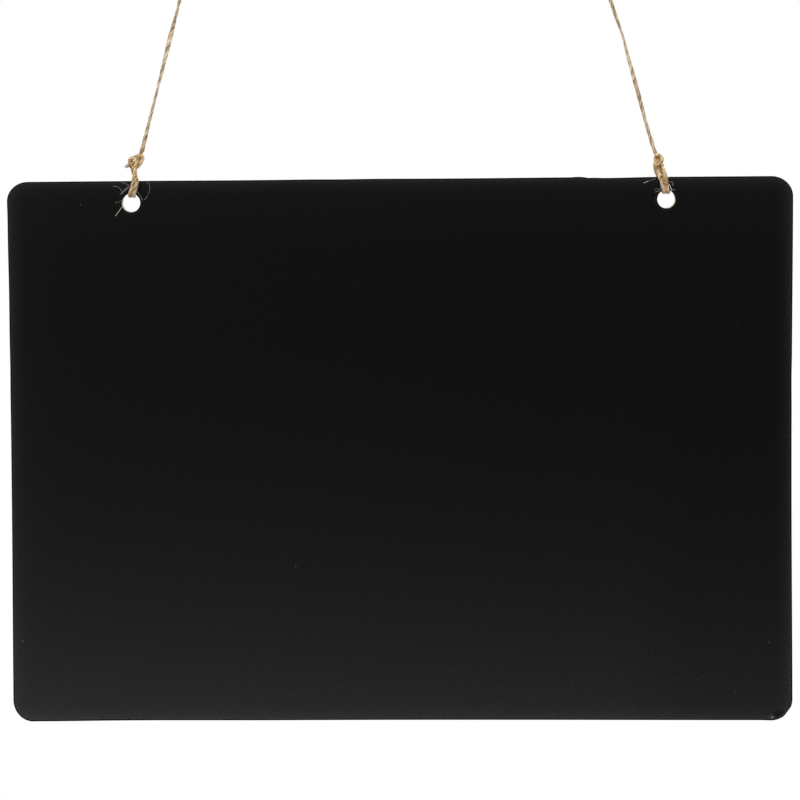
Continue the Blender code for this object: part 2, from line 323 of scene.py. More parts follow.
@dataclass(frozen=True)
class ChalkPaint:
    """Matt black chalk paint: finely stippled, lighter downwards and leftwards with painted sheen that stands
    for a glossy reflection, and rubbed along the outline.

    Attributes:
        name: The material's name.
        middle: The height of the panel's centre.
        half: Half the panel's width, thickness and height, less the corners' radius.
        corner_radius: The radius of the panel's corners.
        base: The paint's own black.
        dust_and_sheen_grey: The lighter grey that chalk dust and painted sheen turn the paint to.
        sheen_low: The share of painted sheen, standing for a glossy reflection, along the lower edge.
        fall: The height over which that painted sheen thins to a third.
        leftward: How much of that painted sheen lies at the left and at the right edge.
        clear: The share of that painted sheen below which the paint shows none of it.
        sheen_right_end: Where the painted sheen ends on the right, from and to, and how much thinner it is
            beyond.
        side_sheen: The share of painted sheen that fades from left to right.
        side_sheen_reach: Where it begins to fade, and where it is gone.
        edge_haze: How much lighter the paint is down the left edge.
        edge_fall: The width over which that thins to a third.
        upper_haze: How much lighter the paint grows towards the top edge.
        upper_reach: How far below that edge it begins, and is full.
        rubbed: The share of dust along the outline.
        rubbed_width: The width over which that thins to a third.
        stipple: How fine the stipple is, how many finer layers it has and how strong each is.
        stippled_film: How much thinner and thicker the stipple makes the dust and the painted sheen.
        stippled_dust: The share of dust on the highest stipple.
        relief: The strength and the depth of the stipple in the surface.
        specks: Places of pale specks, and their greys as a screen shows them.
        speck_size: The radius of a speck and the width of its soft edge.
        speck_blue: The blue of a speck, as a share of its grey.
        chips: Places where the paint is chipped or scuffed, as centre, radius and colour.
        chip_soft: The width of a chip's soft edge, as a share of its radius.
        chip_grain: The stipple at which a chip begins to show, and is full.
    """

    name: str
    middle: float = PANEL_MIDDLE
    half: Point = (0.156, 0, 0.1055)
    corner_radius: float = 0.009
    base: Colour = (0.0019, 0.0019, 0.0018)
    dust_and_sheen_grey: Colour = (0.0390, 0.0388, 0.0380)
    sheen_low: float = 0.507
    fall: float = 0.057
    leftward: Range = (0.98, 0.708)
    clear: float = 0.0516
    sheen_right_end: Point = (0.092, 0.124, 0.145)
    side_sheen: float = 0.021
    side_sheen_reach: Range = (-0.13, 0.065)
    edge_haze: float = 0.070
    edge_fall: float = 0.012
    upper_haze: float = 0.04
    upper_reach: Range = (0.030, 0.002)
    rubbed: float = 0.36
    rubbed_width: float = 0.0021
    stipple: Point = (1300, 2, 0.6)
    stippled_film: Range = (0.78, 1.22)
    stippled_dust: float = 0.07
    relief: Range = (0.2, 0.0001)
    specks: tuple[tuple[Point, int], ...] = ()
    speck_size: Range = (0.0001, 0.00022)
    speck_blue: float = 0.95
    chips: tuple[tuple[Point, float, Colour], ...] = ()
    chip_soft: float = 0.8
    chip_grain: Range = (0.30, 0.55)

    def make(self) -> Material:
        """Build the material.

        Returns:
            The material.
        """
        mix = Recipe(self.name)
        place = mix.place()
        stipple = mix.grain(place, *self.stipple)
        # The paint turns to a lighter grey with chalk dust, and with painted sheen that stands for a glossy
        # reflection
        colour = mix.mix(self.dust_and_sheen(mix, stipple), self.base, self.dust_and_sheen_grey)
        for centre, grey in self.specks:
            spot = mix.near(place, centre, *self.speck_size)
            colour = mix.mix(spot, colour, display(grey, grey, grey * self.speck_blue))
        for centre, radius, shown in self.chips:
            spot = mix.near(place, centre, radius, radius * self.chip_soft)
            ragged = mix.sum("MULTIPLY", spot, mix.span(stipple, *self.chip_grain))
            colour = mix.mix(ragged, colour, shown)
        return mix.finish(colour, roughness=0.75, specular=0.03, normal=mix.bump(stipple, *self.relief))

    def dust_and_sheen(self, mix: Recipe, stipple: Socket) -> Socket:
        """Work out the share of lighter grey: chalk dust, and painted sheen that stands for a glossy
        reflection.

        Args:
            mix: The material's recipe.
            stipple: The stipple's noise.

        Returns:
            The share of dust and painted sheen.
        """
        across = mix.along("X")
        level = mix.along("Z")
        left = -self.half[0] - self.corner_radius
        bottom = self.middle - self.half[2] - self.corner_radius
        top = self.middle + self.half[2] + self.corner_radius
        # Painted sheen, standing for a glossy reflection: lighter towards the bottom and the left, and
        # thinner beyond the right end
        leftward = mix.span(across, -self.half[0], self.half[0], *self.leftward)
        leftward = mix.sum("SUBTRACT", leftward, mix.span(across, *self.sheen_right_end[:2], 0, self.sheen_right_end[2]))
        sheen_low = mix.sum("MULTIPLY", mix.thinning(level, bottom, self.fall), leftward)
        sheen_low = mix.span(sheen_low, self.clear, 1, 0, self.sheen_low)
        flat = mix.stretched(mix.place(), (1, 0, 1), (0, 0, -self.middle))
        outside = mix.vector("SUBTRACT", mix.vector("ABSOLUTE", flat), self.half)
        reach = mix.vector("LENGTH", mix.vector("MAXIMUM", outside, (0, 0, 0)))
        steep = self.corner_radius / self.rubbed_width
        rubbed = mix.sum("EXPONENT", mix.span(reach, 0, self.corner_radius, -steep, 0))
        dust_and_sheen = mix.sum("ADD", sheen_low, mix.sum("MULTIPLY", rubbed, self.rubbed))
        dust_and_sheen = mix.sum("MULTIPLY", dust_and_sheen, mix.span(stipple, *USUAL_NOISE, *self.stippled_film))
        # Dust on the high stipple, painted sheen that fades from left to right, and paler strips down the
        # left edge and along the top
        for more in (
            mix.span(stipple, *USUAL_NOISE, 0, self.stippled_dust),
            mix.span(across, *self.side_sheen_reach, self.side_sheen, 0),
            mix.sum("MULTIPLY", mix.thinning(across, left, self.edge_fall), self.edge_haze),
            mix.span(level, top - self.upper_reach[0], top - self.upper_reach[1], 0, self.upper_haze),
        ):
            dust_and_sheen = mix.sum("ADD", dust_and_sheen, more)
        return dust_and_sheen


@dataclass(frozen=True)
class BareHardboard:
    """The wall of a hole in hardboard: pale pressed fibres below its middle, with painted shade above, where
    the wall faces down.

    Attributes:
        name: The material's name.
        level: The height of the hole's centre.
        soft: The height over which pale turns to painted shade.
        pale: The colour of the clean fibres.
        dark: The colour between them.
        upper_shade: The colour of the painted shade on the upper part.
        layers: How fine its fibres are along each axis.
        tones: The noise at which the fibres are dark, and from which they are pale.
        relief: The strength and the depth of the fibres in the surface.
    """

    name: str
    level: float = HOLE_LEVEL
    soft: float = 0.001
    pale: Colour = display(226, 222, 186)
    dark: Colour = display(170, 152, 104)
    upper_shade: Colour = display(58, 50, 40)
    layers: Point = (500, 3500, 500)
    tones: Range = (0.3, 0.5)
    relief: Range = (0.3, 0.0001)

    def make(self) -> Material:
        """Build the material.

        Returns:
            The material.
        """
        mix = Recipe(self.name)
        layers = mix.grain(mix.stretched(mix.place(), self.layers), scale=1, detail=3, rough=0.6)
        clean = mix.ramp(layers, ((self.tones[0], self.dark), (self.tones[1], self.pale), (1, self.pale)))
        # Painted shade over the upper half of the wall, which faces down, away from the lamps
        upper = mix.span(mix.along("Z"), self.level - self.soft, self.level + self.soft)
        colour = mix.mix(upper, clean, self.upper_shade)
        return mix.finish(colour, roughness=0.85, normal=mix.bump(layers, *self.relief))


@dataclass(frozen=True)
class JuteTwine:
    """Two-ply jute: fine streaks along the plies, with painted shade where the plies meet and where turns of
    the twine lie against each other.

    Attributes:
        name: The material's name.
        deep: The dark colour between fibres, which is also the colour of the painted shade between the plies.
        middle: The usual colour.
        light: The colour of the raised fibres.
        tones: The noise at which each of these three shows.
        streaks: How many streaks go round the twine.
        patches: How many follow each other along one girth of it.
        shade: How dark the painted shade is, in the groove between the plies and where turns touch.
        drift: How many slow patches go round the twine and along one girth of it.
        drift_from: Where those are read from, so that they don't follow the streaks.
        uneven: How far its tone drifts over them.
        low_tint_colour: The colour that its lower part is tinted towards.
        low_tint: How strongly it is tinted there.
        low_tint_from: The height where the tint begins.
        low_tint_to: The height below which it is full.
        relief: The strength and the depth of the fibres in the surface.
    """

    name: str
    deep: Colour = display(104, 66, 26)
    middle: Colour = display(222, 184, 128)
    light: Colour = display(252, 232, 196)
    tones: Point = (0.36, 0.47, 0.60)
    streaks: float = 9
    patches: float = 1.6
    shade: float = 0.54
    drift: Range = (0.9, 0.55)
    drift_from: Range = (7, 3)
    uneven: float = 0.12
    low_tint_colour: Colour = display(80, 62, 40)
    low_tint: float = 0.40
    low_tint_from: float = -0.1005
    low_tint_to: float = -0.1035
    relief: Range = (0.6, 0.0002)

    def make(self) -> Material:
        """Build the material.

        Returns:
            The material.
        """
        mix = Recipe(self.name)
        along = mix.unwrapped()
        streaks = mix.stretched(along, (self.streaks, self.patches, 1))
        fibres = mix.grain(streaks, scale=1, detail=3, rough=0.6, swirl=0.3)
        patches = mix.stretched(along, (*self.drift, 1), (*self.drift_from, 0))
        slow = mix.grain(patches, scale=1, detail=2, rough=0.5)
        height = mix.sum("ADD", fibres, mix.span(slow, *USUAL_NOISE, -self.uneven, self.uneven))
        stops = zip((*self.tones, 1), (self.deep, self.middle, self.light, self.light))
        # Painted shade from the mesh's attribute darkens the grooves between the plies and the places where
        # turns touch
        groove = mix.sum("MULTIPLY", mix.attribute("crease_shade"), self.shade)
        colour = mix.mix(groove, mix.ramp(height, tuple(stops)), self.deep)
        low_tint = mix.span(mix.along("Z"), self.low_tint_to, self.low_tint_from, self.low_tint, 0)
        colour = mix.mix(low_tint, colour, self.low_tint_colour)
        return mix.finish(colour, roughness=0.85, specular=0.2, normal=mix.bump(fibres, *self.relief))


# Camera, lamps and floor


@dataclass
class Studio:
    """The photographer's camera, soft lamps, white surround and pale floor.

    Attributes:
        target: The point that the camera's place is counted from.
        distance: How far from it the camera stands.
        yaw: How far the camera stands to the right, in degrees.
        pitch: How far it stands above, in degrees.
        roll: Its turn about its own axis, in degrees.
        lens: Its focal length in millimetres.
        sensor: The width of its sensor in millimetres.
        lamps: The lamps' names, places and watts.
        lamp_size: The side of each.
        lamp_aim: The point that they light.
        surround_light: How brightly the surround lights the object, where 1 is the white that it shows.
        floor_below: How far the floor lies below the origin.
        floor_radius: The floor's radius.
        floor_sides: How many sides the round floor has.
        floor_tones: The darkest and the lightest colour of the floor.
    """

    target: Point = (0.000406, 0, -0.195205)
    distance: float = 0.9
    yaw: float = 1.4273
    pitch: float = 2.1710
    roll: float = -0.3166
    lens: float = 95.887
    sensor: float = 36
    lamps: tuple[tuple[str, Point, float], ...] = (
        ("key_lamp", (-0.9, -1.3, 0.9), 18),
        ("fill_lamp", (1.1, -1.2, 0.3), 10),
        ("back_lamp", (0.2, 1.2, 0.7), 7),
    )
    lamp_size: float = 1.2
    lamp_aim: Point = (0, 0, -0.2)
    surround_light: float = 0.42
    floor_below: float = 0.56
    floor_radius: float = 0.8
    floor_sides: int = 96
    floor_tones: tuple[Colour, Colour] = ((0.80, 0.80, 0.80), (0.86, 0.86, 0.86))

    def build_camera(self) -> None:
        """Put the camera where the photograph was taken from."""
        yaw = math.radians(self.yaw)
        pitch = math.radians(self.pitch)
        back = Vector((math.sin(yaw) * math.cos(pitch), -math.cos(yaw) * math.cos(pitch), math.sin(pitch)))
        data = bpy.data.cameras.new("camera")
        data.lens = self.lens
        data.sensor_width = self.sensor
        made = link_object("camera", data)
        level = (-back).to_track_quat("-Z", "Y")
        made.rotation_mode = "QUATERNION"
        made.rotation_quaternion = Quaternion(-back, -math.radians(self.roll)) @ level
        made.location = Vector(self.target) + back * self.distance
        bpy.context.scene.camera = made

    def build_lamp(self, name: str, place: Point, watts: float) -> None:
        """Add one soft square lamp.

        Args:
            name: Its name.
            place: Where it stands.
            watts: Its power.
        """
        data = bpy.data.lights.new(name, "AREA")
        data.size = self.lamp_size
        data.energy = watts
        made = link_object(name, data)
        made.location = place
        made.rotation_mode = "QUATERNION"
        made.rotation_quaternion = (Vector(self.lamp_aim) - Vector(place)).to_track_quat("-Z", "Y")

    def build_surround(self) -> None:
        """Light the world softly, and let the camera, gloss and glass see it white."""
        world = bpy.data.worlds.new("surround")
        bpy.context.scene.world = world
        world.use_nodes = True
        tree = world.node_tree
        tree.nodes.clear()
        out = tree.nodes.new("ShaderNodeOutputWorld")
        rays = tree.nodes.new("ShaderNodeLightPath")
        seen = rays.outputs["Is Camera Ray"]
        for kind in ("Is Glossy Ray", "Is Transmission Ray"):
            either = tree.nodes.new("ShaderNodeMath")
            either.operation = "MAXIMUM"
            tree.links.new(seen, either.inputs[0])
            tree.links.new(rays.outputs[kind], either.inputs[1])
            seen = either.outputs[0]
        blend = tree.nodes.new("ShaderNodeMixShader")
        tree.links.new(seen, blend.inputs[0])
        for strength, socket in zip((self.surround_light, 1), blend.inputs[1:]):
            light = tree.nodes.new("ShaderNodeBackground")
            light.inputs["Color"].default_value = (1, 1, 1, 1)
            light.inputs["Strength"].default_value = strength
            tree.links.new(light.outputs[0], socket)
        tree.links.new(blend.outputs[0], out.inputs["Surface"])

    def build_floor(self) -> None:
        """Lay a round pale floor well below the hanging panel."""
        shape = bmesh.new()
        bmesh.ops.create_circle(shape, cap_ends=True, segments=self.floor_sides, radius=self.floor_radius)
        bmesh.ops.translate(shape, verts=shape.verts, vec=(0, 0, -self.floor_below))
        mix = Recipe("pale_floor")
        clouds = mix.grain(mix.place(), scale=6, detail=3, rough=0.5)
        look = mix.finish(mix.mix(clouds, *self.floor_tones), roughness=0.9)
        finish_mesh("floor", shape, [look], False)

    def build(self) -> None:
        """Build the camera, the lamps, the surround and the floor."""
        bpy.context.scene.view_settings.view_transform = "Standard"
        self.build_camera()
        self.build_surround()
        self.build_floor()
        for name, place, watts in self.lamps:
            self.build_lamp(name, place, watts)
        LOG.info("camera, lamps and floor built")


# Panel


# The numbers of the materials on a painted face of the rim, in painted shade, and of the line, in painted
# highlight
RIM_SHADE_LOOK = 1
LINE_HIGHLIGHT_LOOK = 2
# Stands in for such a number where the cap that is raised stays, as the bottom of a new solid
KEEP_CAP = -1


@dataclass
class WornPlace:
    """A dent or rubbed place on the panel's outline: its vertices are pushed back behind a line.

    Attributes:
        start: Where the line starts, which has the panel's inside on its right, seen from the front.
        end: Where it ends.
        past: How far past both ends it reaches, as a share of its length.
        deepest: How far beyond it a vertex may lie, as a share of its length.
    """

    start: Range
    end: Range
    past: float = 0.5
    deepest: float = 2

    def press(self, vert: Vert) -> None:
        """Move a vertex that lies beyond the line back onto it.

        Args:
            vert: The vertex.
        """
        start = Vector((self.start[0], 0, self.start[1]))
        along = Vector((self.end[0], 0, self.end[1])) - start
        outward = Vector((-along.z, 0, along.x)).normalized()
        reach = Vector((vert.co.x, 0, vert.co.z)) - start
        beyond = reach.dot(outward)
        share = reach.dot(along) / along.length_squared
        if 0 < beyond < self.deepest * along.length and -self.past < share < 1 + self.past:
            vert.co -= outward * beyond


class Edge(enum.Enum):
    """One of the panel's four straight edges."""

    LEFT = "left"
    RIGHT = "right"
    TOP = "top"
    BOTTOM = "bottom"


@dataclass
class EdgeMark:
    """A low rise or dip in one edge of the panel.

    Attributes:
        edge: The edge.
        place: Where along the edge its middle is.
        before: How far it reaches to the left or downwards.
        after: How far it reaches to the right or upwards.
        rise: How far its middle lies outside the edge, less than 0 for a dip.
    """

    edge: Edge
    place: float
    before: float
    after: float
    rise: float

    def reach(self, edge: Edge, along: float) -> float:
        """Return how far it moves an edge at a place along it."""
        share = (along - self.place) / (self.before if along < self.place else self.after)
        return self.rise * (1 - share * share) ** 2 if edge is self.edge and abs(share) < 1 else 0.0


# Each mark's place, its reach before and after, and its rise
MARK_ROWS: dict[Edge, tuple[tuple[float, ...], ...]] = {
    Edge.TOP: (
        (0.0757, 0.0042, 0.0038, 0.00018), (0.0804, 0.0028, 0.0052, -0.00026),
        (0.0862, 0.0045, 0.0240, -0.00034), (-0.0630, 0.0450, 0.0450, -0.00012),
        (-0.0230, 0.0148, 0.0148, -0.00010), (0.0236, 0.0380, 0.0465, -0.00012),
    ),
    Edge.BOTTOM: (
        (-0.1133, 0.0380, 0.0600, -0.00023), (-0.1610, 0.0070, 0.0070, 0.00012),
        (0.1590, 0.0080, 0.0080, 0.00015),
    ),
    Edge.LEFT: (
        (-0.1075, 0.0100, 0.0060, 0.00015), (-0.1470, 0.0280, 0.0180, -0.00012),
        (-0.1800, 0.0140, 0.0140, -0.00008),
    ),
    Edge.RIGHT: ((-0.1878, 0.0125, 0.0125, -0.00012),),
}
# Each pale speck's place across and up the front face, and its grey
SPECK_ROWS: tuple[tuple[float, float, int], ...] = (
    (-0.1280, -0.1252, 49), (0.0528, -0.1325, 43), (0.1425, -0.1636, 49), (-0.0441, -0.2653, 88),
    (0.1553, -0.2980, 86), (0.1272, -0.3128, 73), (0.1414, -0.3194, 69), (0.0563, -0.3216, 72),
    (-0.1339, -0.1121, 80), (-0.1605, -0.2970, 101), (0.1643, -0.3251, 120), (0.1636, -0.3261, 120),
    (0.1627, -0.3274, 120),
)


@dataclass
class Panel:
    """The hardboard core and its two painted faces.

    Attributes:
        width: Its width.
        height: Its height.
        thickness: Its whole thickness.
        face_thickness: The thickness of a painted face, down to the core.
        corner_radius: The radius of its corners.
        corner_steps: How many steps round each.
        hole_radius: The radius of its left hole.
        right_hole_radius: The radius of its right hole.
        hole_steps: How many steps round each.
        hole_near: How far from a hole's centre, in radii, its own vertices lie at most.
        wall_near: How far from it the middle of a face of the hole's wall lies at most.
        rim: The height of the rounding of the faces' edges.
        rim_width: Its width.
        rim_steps: How many steps round it.
        highlight_line_width: The width of the line of painted highlight inside it.
        edge_cuts: How many cuts make each straight side able to follow its wear.
        left_bow: How far the left edge lies outside a straight one at its lower end, middle and upper end.
        right_bow: The same for the right edge.
        top_bow: The same for the top edge, from its left end to its right end.
        bottom_bow: The same for the bottom edge.
        drift: How far the holes drift towards the centre line and upwards from front to back.
        worn: The worn places on the outline.
        marks: The low rises and dips in its edges.
    """

    width: float = 0.330
    height: float = PANEL_HEIGHT
    thickness: float = 0.003
    face_thickness: float = 0.0003
    corner_radius: float = 0.0087
    corner_steps: int = 14
    hole_radius: float = 0.00394
    right_hole_radius: float = 0.00384
    hole_steps: int = 96
    hole_near: float = 1.3
    wall_near: float = 1.02
    rim: float = 0.00022
    rim_width: float = 0.00056
    rim_steps: int = 3
    highlight_line_width: float = 0.00040
    edge_cuts: int = 401
    left_bow: Point = (0, -0.00041, 0)
    right_bow: Point = (0.00046, -0.00006, 0.00046)
    top_bow: Point = (-0.00035, -0.00006, -0.00011)
    bottom_bow: Point = (0.00046, -0.00005, 0.00018)
    drift: Range = (0.0002, 0.0004)
    worn: tuple[WornPlace, ...] = (WornPlace((0.1652, -0.3250), (0.1616, -0.3299)),)
    marks: tuple[EdgeMark, ...] = tuple(
        EdgeMark(edge, *row) for edge, rows in MARK_ROWS.items() for row in rows
    )

    def outline(self, shape: Shape, y: float) -> list[Face]:
        """Draw the outline and both holes in a plane, and fill between them.

        Args:
            shape: The bmesh that gets the faces.
            y: The plane's place.

        Returns:
            The faces.
        """
        upright = Matrix.Rotation(math.radians(90), 4, "X")
        to_plane = Matrix.Translation((0, y, PANEL_MIDDLE)) @ upright
        size = Matrix.Diagonal((self.width, self.height, 1, 1))
        bmesh.ops.create_grid(shape, x_segments=1, y_segments=1, size=0.5, matrix=to_plane @ size)
        bmesh.ops.bevel(
            shape, geom=shape.verts[:], offset=self.corner_radius, offset_type="OFFSET",
            segments=self.corner_steps, profile=0.5, affect="VERTICES", material=-1,
        )
        bmesh.ops.delete(shape, geom=shape.faces[:], context="FACES_ONLY")
        straight = [edge for edge in shape.edges if edge.calc_length() > self.corner_radius]
        bmesh.ops.subdivide_edges(shape, edges=straight, cuts=self.edge_cuts)
        for side, radius in ((-1, self.hole_radius), (1, self.right_hole_radius)):
            to_hole = Matrix.Translation((side * HOLE_OUT, y, HOLE_LEVEL)) @ upright
            bmesh.ops.create_circle(
                shape, cap_ends=False, segments=self.hole_steps, radius=radius, matrix=to_hole
            )
        filled = bmesh.ops.triangle_fill(shape, use_beauty=True, use_dissolve=False, edges=shape.edges[:])
        return [piece for piece in filled["geom"] if isinstance(piece, Face)]

    def hole_reach(self, point: Vector) -> Vector:
        """Return the way from the nearer hole's centre to a point, across the panel."""
        side = math.copysign(1, point.x)
        return Vector((point.x - side * HOLE_OUT, 0, point.z - HOLE_LEVEL))

    def outward(self, point: Vector) -> Vector:
        """Work out the way out of the material at a point of the outline or of a hole.

        Args:
            point: The point.

        Returns:
            The way, of length 1.
        """
        spoke = self.hole_reach(point)
        if spoke.length < self.hole_radius * self.hole_near:
            return -spoke.normalized()
        wide = self.width / 2 - self.corner_radius
        high = self.height / 2 - self.corner_radius
        level = point.z - PANEL_MIDDLE
        corner = Vector((max(-wide, min(wide, point.x)), 0, max(-high, min(high, level))))
        return (Vector((point.x, 0, level)) - corner).normalized()

    def raise_cap(
        self, shape: Shape, cap: list[Face], rise: float, inset: float, look: int = KEEP_CAP
    ) -> list[Face]:
        """Extrude a cap along Y and draw its edges in.

        Args:
            shape: The bmesh.
            cap: The cap's faces.
            rise: How far it moves along Y.
            inset: How far its edges move into the material.
            look: The material number of the faces between the old edges and the new, or KEEP_CAP.

        Returns:
            The raised cap.
        """
        known = set(shape.faces)
        raised = bmesh.ops.extrude_face_region(shape, geom=cap)["geom"]
        for vert in (piece for piece in raised if isinstance(piece, Vert)):
            vert.co -= self.outward(vert.co) * inset
            vert.co.y += rise
        top = [piece for piece in raised if isinstance(piece, Face)]
        for face in set(shape.faces) - known - set(top):
            face.material_index = max(0, look)
        if look != KEEP_CAP:
            bmesh.ops.delete(shape, geom=cap, context="FACES")
        return top

    def bow(self, vert: Vert) -> None:
        """Move a vertex of the outline by the bow of the edges that it is on.

        Args:
            vert: The vertex.
        """
        across = vert.co.x / (self.width / 2)
        level = (vert.co.z - PANEL_MIDDLE) / (self.height / 2)

        def reach(edge: Edge, bow: Point, share: float, along: float, inside: float) -> float:
            """Work out how far an edge is moved at a place, less towards the inside of the panel.

            Args:
                edge: The edge.
                bow: Its bow.
                share: The place along it, from -1 to 1.
                along: The same place's coordinate.
                inside: How far inside the edge the place is.

            Returns:
                The distance.
            """
            ends = bow[0] + (bow[2] - bow[0]) * (share + 1) / 2
            full = ends + (bow[1] - (bow[0] + bow[2]) / 2) * max(0, 1 - share * share) ** 2
            full += sum(mark.reach(edge, along) for mark in self.marks)
            return full * max(0, 1 - inside / self.corner_radius)

        side, rise = math.copysign(1, across), math.copysign(1, level)
        sideways = (Edge.RIGHT, self.right_bow) if side > 0 else (Edge.LEFT, self.left_bow)
        upright = (Edge.TOP, self.top_bow) if rise > 0 else (Edge.BOTTOM, self.bottom_bow)
        moved_x = side * reach(*sideways, level, vert.co.z, (1 - abs(across)) * self.width / 2)
        moved_z = rise * reach(*upright, across, vert.co.x, (1 - abs(level)) * self.height / 2)
        vert.co += Vector((moved_x, 0, moved_z))

    def wear(self, shape: Shape) -> None:
        """Bow the outline, press its worn places in, and let the holes drift towards the back.

        Args:
            shape: The bmesh of a layer.
        """
        for vert in shape.verts:
            if self.hole_reach(vert.co).length < self.hole_near * self.hole_radius:
                deep = 0.5 + vert.co.y / self.thickness
                vert.co.x -= math.copysign(self.drift[0] * deep, vert.co.x)
                vert.co.z += self.drift[1] * deep
                continue
            self.bow(vert)
            for place in self.worn:
                place.press(vert)

    @staticmethod
    def settle(shape: Shape) -> None:
        """Turn the faces outwards and sort them, because extruding leaves them in another order each run.

        Args:
            shape: The bmesh of a layer.
        """
        bmesh.ops.recalc_face_normals(shape, faces=shape.faces)
        for number, face in enumerate(sorted(shape.faces, key=lambda face: face.calc_center_median()[:])):
            face.index = number
        shape.faces.sort()

    def is_hole_wall(self, face: Face) -> bool:
        """Tell whether a face is part of the wall of a hole."""
        reach = self.hole_reach(face.calc_center_median()).length
        return abs(face.normal.y) < 0.5 and reach < self.hole_radius * self.wall_near

    def build_face(self, name: str, outward: int, looks: Sequence[Material]) -> Piece:
        """Build a painted face, with a rounded rim in painted shade and a line of painted highlight round its
        outline and its holes.

        Args:
            name: The piece's name.
            outward: -1 for the front face and 1 for the back.
            looks: Its paint, its rim's painted shade and its line's painted highlight.

        Returns:
            The piece.
        """
        shape = bmesh.new()
        cap = self.outline(shape, outward * (self.thickness / 2 - self.face_thickness))
        cap = self.raise_cap(shape, cap, outward * (self.face_thickness - self.rim), 0)
        last = (0.0, 0.0)
        for step in range(1, self.rim_steps + 1):
            angle = math.radians(90) * step / self.rim_steps
            now = (self.rim_width * (1 - math.cos(angle)), self.rim * math.sin(angle))
            cap = self.raise_cap(shape, cap, outward * (now[1] - last[1]), now[0] - last[0], RIM_SHADE_LOOK)
            last = now
        self.raise_cap(shape, cap, 0, self.highlight_line_width, LINE_HIGHLIGHT_LOOK)
        self.wear(shape)
        self.settle(shape)
        return finish_mesh(name, shape, looks, False)

    def build_core(self, name: str, paint: Material, bare: Material) -> Piece:
        """Build the core, painted round its outline and bare inside its holes.

        Args:
            name: The piece's name.
            paint: The paint of its edge.
            bare: The finish of its hole walls.

        Returns:
            The piece.
        """
        shape = bmesh.new()
        inner = self.thickness / 2 - self.face_thickness
        self.raise_cap(shape, self.outline(shape, -inner), 2 * inner, 0)
        self.wear(shape)
        self.settle(shape)
        for face in shape.faces:
            face.material_index = int(self.is_hole_wall(face))
        return finish_mesh(name, shape, [paint, bare], False)

    def front_paint(self) -> Material:
        """Build the front face's paint, with its specks and its chipped corner.

        Returns:
            The paint.
        """
        front = -self.thickness / 2
        chips = (
            ((0.1598, front, -0.3289), 0.0017, display(20, 18, 19)),
            ((0.1568, front, -0.3300), 0.0009, display(58, 50, 44)),
            ((0.15695, front, -0.3302), 0.0004, display(122, 115, 108)),
        )
        specks = tuple(((x, front, z), grey) for x, z, grey in SPECK_ROWS)
        return ChalkPaint("chalk_paint_front", specks=specks, chips=chips).make()

    def build(self) -> None:
        """Build the three layers and hang them on the swinging body."""
        paint = self.front_paint()
        # The back's paint has less painted sheen at the bottom, no paler left edge and less dust along the
        # outline
        back_paint = ChalkPaint("chalk_paint_back", sheen_low=0.1, edge_haze=0, rubbed=0.2).make()
        # The rim's paint is a darker copy of the chalk paint: painted shade on the rounded rim
        rim = ChalkPaint(
            "chalk_paint_rim_shade", base=(0.0002, 0.0002, 0.0002), dust_and_sheen_grey=(0.004, 0.004, 0.004), rubbed=0
        ).make()
        # The line's paint is a lighter copy of the chalk paint: a painted highlight just inside the rim
        line = ChalkPaint("chalk_paint_line_highlight", base=(0.0105, 0.0105, 0.0102)).make()
        bare = BareHardboard("bare_hardboard").make()
        front = self.build_face("front_face", -1, (paint, rim, line))
        back = self.build_face("back_face", 1, (back_paint, rim, back_paint))
        core = self.build_core("panel_core", paint, bare)
        for piece, node, slot in (
            (front, "front_chalk_face", "chalk_paint"),
            (back, "back_chalk_face", "chalk_paint"),
            (core, "board_core", "hardboard"),
        ):
            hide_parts(node)
            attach(piece, "board")
            LOG.info("%s: %d faces", piece.name, len(piece.data.polygons))


# Twine


class Side(enum.Enum):
    """Which of the two tied ends a length of twine belongs to."""

    LEFT = "left"
    RIGHT = "right"


LEFT_KNOT_ROUTE: tuple[Point, ...] = (
    (4.75, 0, 22), (4.1, 0.3, 20.65), (3.55, 0.55, 19.3), (2.9, 0.05, 18), (2.25, -0.3, 16.65),
    (1.85, -0.6, 15.2), (1.9, -1.05, 13.7), (2.05, -1.75, 12.35), (2.3, -2.7, 11.1), (2.6, -3.25, 9.7),
    (2.75, -3.2, 8.2), (2.45, -2.85, 6.7), (2, -2.5, 5.25), (1.55, -2.25, 3.8), (1.2, -1.75, 3.15),
    (1.1, -0.2, 3.05), (1, 1.35, 3.1), (0.95, 2.1, 3.55), (0.9, 2.25, 5.1), (0.9, 2.25, 6.65),
    (1.05, 2.2, 8.2), (1.25, 2.15, 9.7), (1.35, 1.4, 10.25), (1.35, -0.15, 10.3), (1.45, -1.65, 10.1),
    (1.4, -2.2, 9.4), (1.1, -2.25, 7.9), (0.65, -2.25, 6.4), (0.2, -2.25, 4.95), (-0.2, -2.1, 3.55),
    (-0.35, -1.25, 3.2), (-0.4, 0.3, 3.2), (-0.55, 1.8, 3.3), (-0.55, 2.3, 4.1), (-0.5, 2.6, 5.6),
    (-0.25, 2.95, 7.1), (0.15, 3.25, 8.55), (0.65, 3.35, 10.05), (0.95, 3, 11.5), (0.85, 2.5, 12.95),
    (0.45, 2, 14.4), (-0.15, 1.75, 15.8), (-0.65, 1.4, 17.2), (-0.6, 1.05, 18.05), (0, 0.6, 18.65),
    (1.4, 0.1, 19.1), (2.7, -0.5, 19.65), (4.05, -0.9, 19.85), (4.85, -0.7, 19.45), (4.95, -0.25, 18.7),
    (4.3, 0.45, 17.5), (3.5, 0.9, 16.25), (2.4, 1.3, 15.3), (1.5, 1.4, 15.4), (0.65, 0.65, 16.4),
    (0, 0.05, 16.35), (-1.25, -0.5, 15.6), (-1.95, -0.5, 15.35),
)
